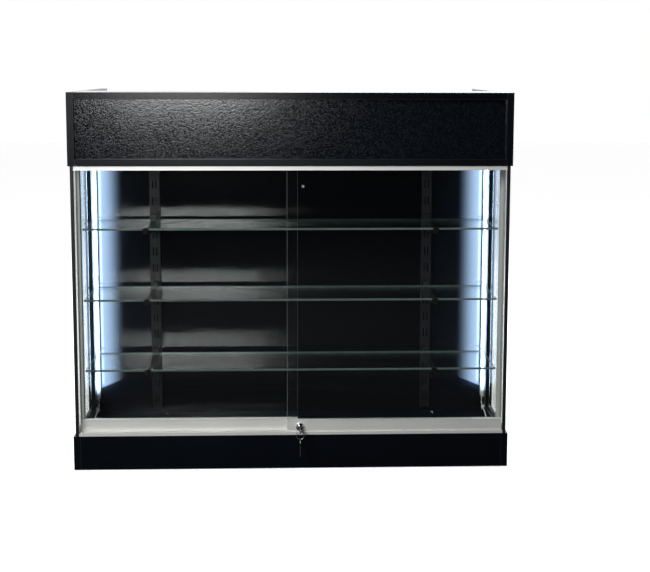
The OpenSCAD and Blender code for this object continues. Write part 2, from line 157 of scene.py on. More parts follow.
class StageSettings(bpy.types.PropertyGroup):
    """Floor, lights and camera"""

    floor_colour: FloatVectorProperty(
        name="Floor colour", description="Colour of the floor",
        default=(0.86, 0.86, 0.86), subtype="COLOR", size=3, min=0, max=1)
    floor_glow: FloatProperty(
        name="Floor glow", description="Light that lifts the floor towards white",
        default=0.62, min=0, max=2)
    key_power: FloatProperty(
        name="Key light power", description="Power of the soft box beside the camera",
        default=27.0, unit="POWER", min=0, max=5000)
    front_power: FloatProperty(
        name="Front light power", description="Power of the soft box above the front left",
        default=110.0, unit="POWER", min=0, max=5000)
    back_power: FloatProperty(
        name="Back light power", description="Power of the soft box above the back",
        default=150.0, unit="POWER", min=0, max=5000)
    camera_place: FloatVectorProperty(
        name="Camera place", description="Where the camera stands",
        default=(-0.0162, -3.4674, 1.1216), subtype="TRANSLATION", unit="LENGTH", size=3)
    pitch: FloatProperty(
        name="Pitch", description="How far the camera looks down",
        default=math.radians(6.54), subtype="ANGLE", unit="ROTATION")
    yaw: FloatProperty(
        name="Yaw", description="How far the camera is turned to the left",
        default=math.radians(-1.953), subtype="ANGLE", unit="ROTATION")
    roll: FloatProperty(
        name="Roll", description="How far the camera is tilted about its own axis",
        default=math.radians(0.114), subtype="ANGLE", unit="ROTATION")
    lens: FloatProperty(
        name="Lens", description="Focal length on a 36 mm wide sensor, in millimetres",
        default=64.21, subtype="DISTANCE_CAMERA", min=10, max=300)
    lens_rise: FloatProperty(
        name="Lens rise", description="Vertical shift of the lens",
        default=-0.13, min=-1, max=1)


# Shader nodes


class Wire:
    """A value in a node tree; an expression on wires adds its Math nodes."""

    def __init__(self, board, socket):
        self.board, self.socket = board, socket

    def maths(self, operation, *values):
        return self.board.node("Math", {"operation": operation}, dict(enumerate(values)))

    def __add__(self, other):
        return self.maths("ADD", self, other)

    __radd__ = __add__

    def __sub__(self, other):
        return self.maths("SUBTRACT", self, other)

    def __rsub__(self, other):
        return self.maths("SUBTRACT", other, self)

    def __mul__(self, other):
        return self.maths("MULTIPLY", self, other)

    __rmul__ = __mul__

    def __pow__(self, other):
        return self.maths("POWER", self, other)

    def least(self, other):
        return self.maths("MINIMUM", self, other)

    def most(self, other):
        return self.maths("MAXIMUM", self, other)

    def ease(self, low, high):
        """This value's way from low to high, smoothed, as a number from 0 to 1."""
        return self.board.node(
            "MapRange", {"interpolation_type": "SMOOTHSTEP"},
            {"Value": self, "From Min": low, "From Max": high})


class Board:
    """A node tree that is filled by expressions."""

    def __init__(self, tree):
        self.tree = tree
        tree.nodes.clear()

    def node(self, kind, settings=None, sockets=None, out=0):
        """A new node of a type, with its settings set first, then its sockets."""
        made = self.tree.nodes.new("ShaderNode" + kind)
        for name, value in (settings or {}).items():
            setattr(made, name, value)
        for name, value in (sockets or {}).items():
            if isinstance(value, Wire):
                self.tree.links.new(value.socket, made.inputs[name])
            else:
                made.inputs[name].default_value = value
        return Wire(self, made.outputs[out]) if made.outputs else made

    def place(self, stretch=(1, 1, 1)):
        """Object coordinates, scaled along each axis."""
        here = self.node("TexCoord", out="Object")
        return self.node("Mapping", {}, {"Vector": here, "Scale": stretch})

    def along(self, axis, space="Object"):
        """The coordinate along one axis."""
        return self.node("SeparateXYZ", {}, {0: self.node("TexCoord", out=space)}, out=axis)

    def noise(self, scale, detail=3.0, rough=0.5, stretch=(1, 1, 1)):
        return self.node(
            "TexNoise", {},
            {"Vector": self.place(stretch), "Scale": scale, "Detail": detail, "Roughness": rough})

    def blend(self, share, first, second):
        """One colour mixed into another by a share."""
        return self.node(
            "Mix", {"data_type": "RGBA"},
            {0: share, 6: rgba(first), 7: rgba(second)}, out=2)

    def bump(self, height, strength, distance):
        return self.node(
            "Bump", {}, {"Height": height, "Strength": strength, "Distance": distance})


def rgba(colour):
    return colour if isinstance(colour, Wire) else (*tuple(colour)[:3], 1.0)


def toned(colour, share):
    """A colour made darker or paler by a share."""
    return [min(1, share * part) for part in colour]


class Finish(Board):
    """A material with one Principled shader."""

    def __init__(self, name, **constants):
        self.material = bpy.data.materials.new(name)
        self.material.use_nodes = True
        super().__init__(self.material.node_tree)
        self.shader = self.tree.nodes.new("ShaderNodeBsdfPrincipled")
        self.output = self.tree.nodes.new("ShaderNodeOutputMaterial")
        self.tree.links.new(self.shader.outputs[0], self.output.inputs[0])
        for socket, value in constants.items():
            self.set(socket.replace("_", " "), value)

    def set(self, socket, value):
        """A constant goes on the shader's own socket; a wire is linked to it."""
        if isinstance(value, Wire):
            self.tree.links.new(value.socket, self.shader.inputs[socket])
        elif "Color" in socket:
            self.shader.inputs[socket].default_value = rgba(value)
        else:
            self.shader.inputs[socket].default_value = value


# Finishes


def edge_line(f, box, width):
    """1 along the edges of a box-shaped board, falling raggedly to 0 over a width."""
    low, high = box
    axes = [f.along(i) for i in range(3)]
    gaps = [(a - low[i]).least(high[i] - a) for i, a in enumerate(axes)]
    near, far = gaps[0].least(gaps[1]), gaps[0].most(gaps[1])
    second = near.most(far.least(gaps[2]))
    ragged = f.noise(140, 4, 0.6) * width
    return 1 - (second + ragged - 0.5 * width).ease(0.0, width)


def laminate(name, colour, box, wear_and_sheen, rough=0.30):
    """Smooth black laminate with a faint grain, dust, and edges painted paler: rubbed wear and a
    painted highlight.
    """
    f = Finish(name, Specular_IOR_Level=0.22)
    cloud = f.noise(5.5, 5, 0.55)
    fine = f.noise(900, 2, 0.5)
    dust = f.noise(60, 6, 0.7).ease(0.58, 0.78)
    # Edges painted paler: rubbed wear, and a painted highlight where the edges would catch light
    worn_and_sheen = edge_line(f, box, wear_and_sheen)
    base = f.blend(cloud, toned(colour, 0.8), toned(colour, 1.25))
    base = f.blend(dust * 0.05, base, PALE_DUST_AND_SHEEN)
    f.set("Base Color", f.blend(worn_and_sheen * 0.25, base, PALE_DUST_AND_SHEEN))
    f.set("Roughness", rough + (cloud - 0.5) * 0.08 + dust * 0.06 + worn_and_sheen * 0.08)
    f.set("Normal", f.bump(fine, 0.08, 0.0002))
    return f.material


def pebbled_laminate(name, colour, size):
    """Laminate pressed with a fine irregular pebble."""
    f = Finish(name, Specular_IOR_Level=0.55)
    cells = f.node(
        "TexVoronoi", {"feature": "F1"},
        {"Vector": f.place(), "Scale": 1 / size, "Randomness": 1.0})
    grain = f.noise(0.75 / size, 2, 0.5).ease(0.28, 0.72)
    height = 0.55 - cells * 0.55 + grain * 0.45
    cloud = f.noise(9, 4, 0.5)
    f.set("Base Color", f.blend(grain.ease(0.3, 0.7), toned(colour, 0.8), toned(colour, 1.3)))
    f.set("Roughness", 0.16 + (grain - 0.5) * 0.12 + (cloud - 0.5) * 0.04)
    f.set("Normal", f.bump(height, 0.3, size * 0.12))
    return f.material


def wall_laminate(name, colour):
    """Half-gloss laminate with a slight orange peel."""
    f = Finish(name, Specular_IOR_Level=0.25)
    peel = f.noise(120, 2, 0.5)
    cloud = f.noise(4, 4, 0.55)
    smear = f.noise(18, 5, 0.65, (1, 1, 0.25)).ease(0.5, 0.8)
    f.set("Base Color", f.blend(cloud, toned(colour, 0.85), toned(colour, 1.2)))
    f.set("Roughness", 0.145 + smear * 0.05 + (cloud - 0.5) * 0.04)
    f.set("Normal", f.bump(peel, 0.02, 0.0003))
    return f.material


def satin_metal(name, colour, along, rough=0.40):
    """Satin anodised metal with fine lines along its run."""
    f = Finish(name, Metallic=0.45, Specular_IOR_Level=0.5)
    stretch = [1.0 if i == along else 60.0 for i in range(3)]
    lines = f.noise(28, 6, 0.65, stretch)
    cloud = f.noise(7, 3, 0.5)
    spots = f.noise(120, 5, 0.7).ease(0.62, 0.8)
    tone = lines * 0.5 + cloud * 0.5
    base = f.blend(tone.ease(0.2, 0.8), toned(colour, 0.93), toned(colour, 1.05))
    f.set("Base Color", f.blend(spots * 0.15, base, toned(colour, 0.8)))
    f.set("Roughness", rough + (lines - 0.5) * 0.1 + spots * 0.05)
    f.set("Normal", f.bump(lines, 0.03, 0.0001))
    return f.material


def bright_metal(name, colour, rough, scratches=0.08):
    """Plated or polished metal with hairline scratches."""
    f = Finish(name, Metallic=1.0)
    hair = f.noise(700, 4, 0.6, (1, 0.08, 1))
    film = f.noise(160, 4, 0.6)
    f.set("Base Color", f.blend(film.ease(0.4, 0.8), colour, toned(colour, 0.82)))
    f.set("Roughness", rough + hair * scratches + film * 0.05)
    f.set("Normal", f.bump(hair, 0.04, 0.0001))
    return f.material


def powder_coat(name, colour):
    """Powder-coated steel with a fine ripple."""
    f = Finish(name, Specular_IOR_Level=0.42)
    ripple = f.noise(1500, 2, 0.5)
    cloud = f.noise(30, 3, 0.5)
    rubbed = f.noise(210, 6, 0.75).ease(0.64, 0.76)
    base = f.blend(cloud, toned(colour, 0.8), toned(colour, 1.3))
    f.set("Base Color", f.blend(rubbed * 0.3, base, (0.05, 0.05, 0.052)))
    f.set("Roughness", 0.42 + (ripple - 0.5) * 0.1)
    f.set("Normal", f.bump(ripple, 0.18, 0.0002))
    return f.material


def moulded_plastic(name, colour, rough=0.45, spark=900, specular=0.45):
    """Moulded plastic with a spark-eroded skin."""
    f = Finish(name, Specular_IOR_Level=specular)
    skin = f.noise(spark, 3, 0.6)
    cloud = f.noise(40, 3, 0.5)
    f.set("Base Color", f.blend(cloud, toned(colour, 0.88), toned(colour, 1.1)))
    f.set("Roughness", rough + (skin - 0.5) * 0.12)
    f.set("Normal", f.bump(skin, 0.12, 0.0002))
    return f.material


def seal_rubber(name, colour):
    """Dull black rubber with a little bloom."""
    f = Finish(name, Specular_IOR_Level=0.15)
    bloom = f.noise(90, 5, 0.65).ease(0.5, 0.8)
    skin = f.noise(1200, 2, 0.5)
    f.set("Base Color", f.blend(bloom * 0.35, colour, toned(colour, 2.6)))
    f.set("Roughness", 0.62 + bloom * 0.15)
    f.set("Normal", f.bump(skin, 0.15, 0.0002))
    return f.material


def sawn_wood(name):
    """Pale softwood block with its growth rings."""
    f = Finish(name, Specular_IOR_Level=0.3)
    rings = f.node(
        "TexWave", {"wave_type": "RINGS", "rings_direction": "Y"},
        {"Vector": f.place((1, 0.15, 1)), "Scale": 70, "Distortion": 5, "Detail": 3,
         "Detail Scale": 1.2}, out="Fac")
    fibre = f.noise(300, 4, 0.6, (1, 0.06, 1))
    f.set("Base Color", f.blend(rings * 0.7 + fibre * 0.3, (0.42, 0.28, 0.15), (0.62, 0.46, 0.28)))
    f.set("Roughness", 0.62 + fibre * 0.15)
    f.set("Normal", f.bump(fibre, 0.25, 0.0005))
    return f.material


def clear_glass(name, tint):
    """Float glass: clear, with a mirror share that grows towards grazing."""
    f = Finish(name)
    facing = f.node("LayerWeight", {}, {"Blend": 0.5}, out="Facing")
    smear = f.noise(9, 5, 0.6).ease(0.55, 0.85)
    mirror = f.node("BsdfGlossy", {}, {"Color": WHITE, "Roughness": 0.02})
    clear = f.node("BsdfTransparent", {}, {"Color": rgba(tint)})
    straight = 0.04
    share = straight + (1 - straight) * facing ** 5 + smear * 0.006
    both = f.node("MixShader", {}, {0: share, 1: clear, 2: mirror})
    f.tree.nodes.remove(f.shader)
    f.tree.links.new(both.socket, f.output.inputs[0])
    return f.material


def glass_edge_finish(name, colour):
    """Polished glass edge, where the green of the glass shows."""
    f = Finish(name, Specular_IOR_Level=0.6, Roughness=0.12)
    depth = f.noise(34, 4, 0.6, (1, 1, 2.5))
    chips = f.noise(420, 4, 0.7).ease(0.66, 0.76)
    base = f.blend(depth, toned(colour, 0.55), toned(colour, 1.35))
    f.set("Base Color", f.blend(chips * 0.5, base, (0.7, 0.78, 0.75)))
    f.set("Normal", f.bump(chips + depth * 0.2, 0.1, 0.0003))
    return f.material


def light_lens(name, colour, strength, low, high):
    """Milky lens, a little brighter over each diode and dim at its ends."""
    f = Finish(name, Roughness=0.35, Emission_Strength=strength)
    z = f.along(2)
    dim_end = 0.012
    ends = (z - low).ease(0.0, dim_end) * (high - z).ease(0.0, dim_end)
    wave = z * (math.tau / DIODE_PITCH)
    lit = ends * (wave.maths("SINE", wave) * 0.06 + 0.94)
    f.set("Base Color", f.blend(f.noise(300, 2), (0.8, 0.82, 0.84), (0.88, 0.9, 0.92)))
    f.set("Emission Color", f.blend(lit, (0.0, 0.0, 0.0), colour))
    return f.material


def circuit_board(name):
    """White solder mask with paler pads along the strip."""
    f = Finish(name, Specular_IOR_Level=0.5)
    wave = f.node(
        "TexWave", {"wave_type": "BANDS", "bands_direction": "Z"},
        {"Vector": f.place(), "Scale": 120 / math.tau, "Distortion": 0}, out="Fac")
    pads = wave.ease(0.8, 0.9)
    f.set("Base Color", f.blend(pads, (0.8, 0.8, 0.77), (0.5, 0.42, 0.12)))
    f.set("Roughness", 0.35 + pads * 0.1)
    return f.material


# Shapes


def new_piece(name, mesh, body, slot, *materials, smooth=False):
    """A finished mesh as a piece: its object, materials and body. The slot argument is not used.
    """
    data = bpy.data.meshes.new(name)
    mesh.to_mesh(data)
    mesh.free()
    for material in materials:
        data.materials.append(material)
    if smooth:
        data.shade_smooth()
    piece = bpy.data.objects.new(name, data)
    bpy.context.scene.collection.objects.link(piece)
    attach(piece, body)
    return piece


def repaint(material, *names):
    """Gives CAD nodes a finish in the slots that they have."""
    for name in names:
        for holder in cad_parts[name].material_slots:
            holder.material = material


def node_mesh(name):
    """A merged copy of a CAD node's mesh with its flat faces joined."""
    mesh = bmesh.new()
    mesh.from_mesh(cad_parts[name].data)
    bmesh.ops.remove_doubles(mesh, verts=mesh.verts, dist=1e-6)
    bmesh.ops.dissolve_limit(
        mesh, angle_limit=math.radians(0.5), verts=mesh.verts, edges=mesh.edges)
    return mesh


def soften(mesh, edges, width, segments):
    """Rounds edges."""
    bmesh.ops.bevel(
        mesh, geom=edges, offset=width, offset_type="OFFSET", segments=segments,
        profile=0.5, affect="EDGES", clamp_overlap=True, material=-1)


def block(mesh, low, high):
    """A box between two corners, added to a mesh."""
    low, high = Vector(low), Vector(high)
    middle = Matrix.Translation((low + high) / 2)
    return bmesh.ops.create_cube(
        mesh, size=1, matrix=middle @ Matrix.Diagonal((*(high - low), 1)))["verts"]


def edges_of(mesh, verts):
    """The edges between some of a mesh's vertices."""
    verts = set(verts)
    return [e for e in mesh.edges if verts.issuperset(e.verts)]


def turned(mesh, outline, centre, axis, steps=32):
    """An outline of (radius, height) turned round an axis through centre."""
    axis = Vector(axis)
    side = axis.orthogonal().normalized()
    verts = [mesh.verts.new(Vector(centre) + side * r + axis * h) for r, h in outline]
    edges = [mesh.edges.new(pair) for pair in zip(verts, verts[1:])]
    bmesh.ops.spin(
        mesh, geom=verts + edges, cent=centre, axis=axis, angle=math.tau, steps=steps,
        use_merge=True, use_duplicate=False)
    bmesh.ops.remove_doubles(mesh, verts=mesh.verts, dist=1e-6)
    bmesh.ops.recalc_face_normals(mesh, faces=mesh.faces)


def solids(name):
    """The lowest and highest corners of each loose solid in a CAD node."""
    mesh = node_mesh(name)
    left, boxes = set(mesh.verts), []
    while left:
        front = [left.pop()]
        solid = list(front)
        while front:
            near = {e.other_vert(v) for v in front for e in v.link_edges} & left
            left -= near
            front = list(near)
            solid += front
        spots = [v.co for v in solid]
        boxes.append((Vector(map(min, *spots)), Vector(map(max, *spots))))
    mesh.free()
    return sorted(boxes, key=lambda b: tuple(b[0]))


def screw(mesh, low, high, axis, depth):
    """A pan-head screw with a cross recess, filling a box, its head at the axis's end."""
    axis = Vector(axis)
    middle = (low + high) / 2
    size = high - low
    radius = max(s for s, a in zip(size, axis) if not a) / 2
    length = abs(size.dot(axis))
    head, shank, tip = 0.45 * radius, 0.5 * radius, 0.1 * radius
    arm, reach = 0.12 * radius, 0.48 * radius
    place = Matrix.Translation(middle) @ axis.to_track_quat("Z", "Y").to_matrix().to_4x4()
    part = bmesh.new()
    bmesh.ops.create_circle(part, cap_ends=True, segments=20, radius=radius * 0.62)
    for side in (Vector((1, 0, 0)), Vector((0, 1, 0))):
        for gap in (arm, reach):
            for sign in (-1, 1):
                bmesh.ops.bisect_plane(
                    part, geom=part.verts[:] + part.edges[:] + part.faces[:],
                    plane_co=side * gap * sign, plane_no=side)
    rim = [e for e in part.edges if e.is_boundary]
    cross = [f for f in part.faces if min(map(abs, f.calc_center_median()[:2])) < arm
             and max(map(abs, f.calc_center_median()[:2])) < reach]
    sunk = bmesh.ops.extrude_face_region(part, geom=cross)["geom"]
    bmesh.ops.delete(part, geom=cross, context="FACES")
    sunk = [v for v in sunk if isinstance(v, bmesh.types.BMVert)]
    bmesh.ops.translate(part, verts=sunk, vec=(0, 0, -depth))
    bmesh.ops.scale(part, verts=sunk, vec=(0.8, 0.8, 1))
    top = length / 2
    bmesh.ops.translate(part, verts=part.verts, vec=(0, 0, top))
    dome = ((0.86, 0.14), (0.97, 0.45), (1.0, 0.8), (1.0, 1.0), (0.5, 1.0))
    rings = [(radius * r, top - head * h) for r, h in dome]
    rings += [(shank, -top + shank), (tip, -top)]
    for r, z in rings:
        made = bmesh.ops.extrude_edge_only(part, edges=rim)["geom"]
        rim = [e for e in made if isinstance(e, bmesh.types.BMEdge)]
        for v in [v for v in made if isinstance(v, bmesh.types.BMVert)]:
            flat = Vector((v.co.x, v.co.y, 0)).normalized() * r
            v.co = (flat.x, flat.y, z)
    bmesh.ops.contextual_create(part, geom=rim)
    bmesh.ops.recalc_face_normals(part, faces=part.faces)
    part.transform(place)
    holder = bpy.data.meshes.new("screw")
    part.to_mesh(holder)
    part.free()
    mesh.from_mesh(holder)
    bpy.data.meshes.remove(holder)


# Operators


class SHOWCASE_OT_stage(bpy.types.Operator):
    """Puts up the floor, the backdrop light, the soft boxes and the camera"""

    bl_idname = "showcase.stage"
    bl_label = "Stage"

    def execute(self, context):
        values = context.scene.showcase_stage
        self.add_floor(values)
        self.light_surroundings()
        low, high = CAD_BOX
        middle = (low + high) / 2
        # Name, power, width and height, place, and the aim from the cabinet's middle
        for name, power, size, place, aim in (
                ("key_light", values.key_power, (0.84, 0.5),
                 (-0.60, low.y - 3.5, middle.z + 0.74), (-0.1, 0, 0.25)),
                ("front_light", values.front_power, (1.3, 1.3),
                 (-1.6, low.y - 1.7, high.z + 1.35), (-0.1, low.y, 0)),
                ("back_light", values.back_power, (2.4, 2.4),
                 (0.8, high.y + 1.9, high.z + 1.8), (0, 0, 0))):
            self.add_soft_box(name, power, size, place, middle + Vector(aim))
        self.add_camera(values)
        return {"FINISHED"}

    def add_floor(self, values):
        """White paper to the camera; to the other rays it is dark except behind the cabinet."""
        half_width, dark, pale_from, pale_to = 14, 0.02, 0.3, 1.0
        mesh = bmesh.new()
        bmesh.ops.create_grid(mesh, x_segments=1, y_segments=1, size=half_width)
        data = bpy.data.meshes.new("floor")
        mesh.to_mesh(data)
        mesh.free()
        floor = bpy.data.objects.new("floor", data)
        bpy.context.scene.collection.objects.link(floor)
        f = Finish("floor_paper", Specular_IOR_Level=0.05, Roughness=0.9)
        seen = f.node("LightPath", out="Is Camera Ray")
        pale = f.blend(
            f.noise(3, 3) * 0.3, values.floor_colour, toned(values.floor_colour, 0.96))
        rear = f.along(1).ease(pale_from, pale_to)
        f.set("Base Color", f.blend(seen.most(rear), toned(values.floor_colour, dark), pale))
        glow = f.node("Emission", {}, {"Color": WHITE, "Strength": seen * values.floor_glow})
        both = f.node("AddShader", {}, {0: Wire(f, f.shader.outputs[0]), 1: glow})
        f.tree.links.new(both.socket, f.output.inputs[0])
        data.materials.append(f.material)

    def light_surroundings(self):
        """A white room to the camera, that lights the cabinet from behind and from its sides."""
        from_behind, from_beside, from_ahead = 1.6, 0.35, 0.008
        world = bpy.data.worlds.new("studio")
        world.use_nodes = True
        bpy.context.scene.world = world
        b = Board(world.node_tree)
        seen = b.node("LightPath", out="Is Camera Ray")
        across, behind = b.along(0, "Generated"), b.along(1, "Generated").ease(0.15, 0.75)
        beside = (across * across).ease(0.55, 1.0)
        unseen = behind * from_behind + beside * from_beside + from_ahead
        strength = seen + (1 - seen) * unseen
        sky = b.node("Background", {}, {"Color": WHITE, "Strength": strength})
        b.node("OutputWorld", {}, {0: sky})

    def add_soft_box(self, name, power, size, place, target):
        """A lamp as large as its cloth, turned to its target."""
        data = bpy.data.lights.new(name, "AREA")
        data.shape = "RECTANGLE"
        data.size, data.size_y = size
        data.energy = power
        lamp = bpy.data.objects.new(name, data)
        bpy.context.scene.collection.objects.link(lamp)
        lamp.location = place
        lamp.rotation_euler = (target - lamp.location).to_track_quat("-Z", "Y").to_euler()
        lamp.visible_camera = False

    def add_camera(self, values):
        data = bpy.data.cameras.new("camera")
        data.sensor_width, data.lens = 36, values.lens
        data.shift_y = values.lens_rise
        data.clip_start, data.clip_end = 0.05, 60
        camera = bpy.data.objects.new("camera", data)
        bpy.context.scene.collection.objects.link(camera)
        turn = (Matrix.Rotation(values.yaw, 4, "Z")
                @ Matrix.Rotation(math.pi / 2 - values.pitch, 4, "X")
                @ Matrix.Rotation(values.roll, 4, "Z"))
        camera.matrix_world = Matrix.Translation(values.camera_place) @ turn
        bpy.context.scene.camera = camera


class SHOWCASE_OT_boards(bpy.types.Operator):
    """Finishes the laminate boards of the cabinet"""

    bl_idname = "showcase.boards"
    bl_label = "Boards"

    smooth_boards = (
        "side_panel_left", "side_panel_right", "kick_plate", "rear_kick", "track_rail",
        "deck", "case_top", "ledge_top", "header_back", "storage_shelf")
    glossier = {"ledge_top": 0.20}

    def execute(self, context):
        values = context.scene.showcase_boards
        for name in self.smooth_boards:
            repaint(laminate(
                "laminate_" + name, values.laminate_colour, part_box(name), values.edge_wear_and_sheen,
                self.glossier.get(name, 0.30)), name)
        repaint(pebbled_laminate(
            "pebbled_laminate", values.pebble_colour, values.pebble_size), "header_panel")
        repaint(wall_laminate("wall_laminate", values.wall_colour), "back_wall")
        repaint(bright_metal("zinc_pins", (0.72, 0.73, 0.75), 0.32), "shelf_pins")
        return {"FINISHED"}


class SHOWCASE_OT_feet(bpy.types.Operator):
    """Finishes the levelling glides and the blocks they screw into"""

    bl_idname = "showcase.feet"
    bl_label = "Feet"

    def execute(self, context):
        repaint(moulded_plastic("glide_plastic", (0.03, 0.031, 0.033), 0.4), "levelling_glides")
        repaint(sawn_wood("glide_block_wood"), "glide_blocks")
        return {"FINISHED"}


class SHOWCASE_OT_panes(bpy.types.Operator):
    """Makes the side panes, doors and shelves with ground edges, and finishes their trims"""

    bl_idname = "showcase.panes"
    bl_label = "Panes"

    panes = {
        "side_glass_left": ("side_pane_left", "cabinet"),
        "side_glass_right": ("side_pane_right", "cabinet"),
        "glass_shelf_upper": ("shelf_pane_upper", "cabinet"),
        "glass_shelf_middle": ("shelf_pane_middle", "cabinet"),
        "glass_shelf_lower": ("shelf_pane_lower", "cabinet"),
        "left_door_glass": ("left_door_pane", "left_door"),
        "right_door_glass": ("right_door_pane", "right_door"),
    }

    def execute(self, context):
        values = context.scene.showcase_glass
        clear = clear_glass("clear_glass", values.tint)
        edge = glass_edge_finish("glass_edge", values.edge_colour)
        for node, (name, body) in self.panes.items():
            self.add_pane(node, name, body, values.arris, clear, edge)
        repaint(moulded_plastic("edge_channel_plastic", (0.008, 0.008, 0.009), 0.35),
                "glass_edge_left", "glass_edge_right")
        grey = toned(context.scene.showcase_metal.aluminium_colour, 0.55)
        repaint(satin_metal("satin_jamb", grey, 2), "jamb_left", "jamb_right")
        repaint(moulded_plastic("seal_vinyl", (0.52, 0.52, 0.50), 0.5), "jamb_seals")
        return {"FINISHED"}

    def add_pane(self, node, name, body, arris, clear, edge):
        """One pane: clear on its two faces, with ground corners and polished edges."""
        low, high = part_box(node)
        size = high - low
        thin = min(range(3), key=lambda i: size[i])
        mesh = node_mesh(node)
        shortest, sharp = 0.02, math.radians(60)
        rims = [e for e in mesh.edges if e.calc_length() > shortest
                and len(e.link_faces) == 2 and e.calc_face_angle(0) > sharp]
        soften(mesh, rims, arris, 1)
        mesh.normal_update()
        for face in mesh.faces:
            face.material_index = 0 if abs(face.normal[thin]) > 0.99 else 1
        piece = new_piece(name, mesh, body, "clear_glass", clear, edge)
        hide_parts(node)


class SHOWCASE_OT_tracks(bpy.types.Operator):
    """Finishes the door tracks, the doors' shoes and their rollers"""

    bl_idname = "showcase.tracks"
    bl_label = "Tracks and shoes"

    def execute(self, context):
        colour = context.scene.showcase_metal.aluminium_colour
        repaint(satin_metal("satin_aluminium", colour, 0),
                "upper_track", "lower_track", "left_door_shoe", "right_door_shoe")
        repaint(moulded_plastic("roller_nylon", (0.72, 0.71, 0.67), 0.35),
                "left_roller_outer", "left_roller_inner",
                "right_roller_outer", "right_roller_inner")
        repaint(bright_metal("axle_steel", (0.56, 0.57, 0.58), 0.28),
                "left_roller_axles", "right_roller_axles")
        return {"FINISHED"}


class SHOWCASE_OT_lock(bpy.types.Operator):
    """Finishes the plunger lock, its keys and their ring"""

    bl_idname = "showcase.lock"
    bl_label = "Lock and keys"

    def execute(self, context):
        repaint(bright_metal("lock_chrome", (0.86, 0.87, 0.89), 0.07, 0.04),
                "lock_collar", "lock_plunger")
        repaint(bright_metal("plug_brass", (0.36, 0.33, 0.27), 0.25), "key_plug")
        repaint(bright_metal("key_nickel", (0.34, 0.34, 0.33), 0.24, 0.1),
                "door_key", "key_ring", "spare_key")
        return {"FINISHED"}


class SHOWCASE_OT_supports(bpy.types.Operator):
    """Finishes the standards, brackets and tips, and makes the screw heads"""

    bl_idname = "showcase.supports"
    bl_label = "Shelf supports"

    standard_reach = 0.005

    def execute(self, context):
        values = context.scene.showcase_metal
        repaint(powder_coat("powder_coat", values.steel_colour),
                "standard_left", "standard_right",
                "brackets_upper", "brackets_middle", "brackets_lower")
        repaint(seal_rubber("tip_rubber", (0.0012, 0.0012, 0.0012)), "bracket_tips")
        zinc = bright_metal("screw_zinc", (0.68, 0.69, 0.71), 0.3)
        blacked = bright_metal("screw_black_zinc", (0.02, 0.021, 0.023), 0.35)
        standards = [sum(c.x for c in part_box("standard_" + side)) / 2 for side in SIDES]
        for node in ("wall_screws", "track_screws"):
            mesh = bmesh.new()
            for low, high in solids(node):
                axis = (0, 0, 1) if high.z - low.z > high.y - low.y else (0, -1, 0)
                before = set(mesh.faces)
                screw(mesh, low, high, axis, values.recess_depth)
                aside = min(abs((low.x + high.x) / 2 - x) for x in standards)
                if node == "wall_screws" and aside < self.standard_reach:
                    for face in set(mesh.faces) - before:
                        face.material_index = 1
            piece = new_piece(
                node[:-1] + "_set", mesh, "cabinet", "zinc_steel", zinc, blacked)
            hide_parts(node)
        return {"FINISHED"}


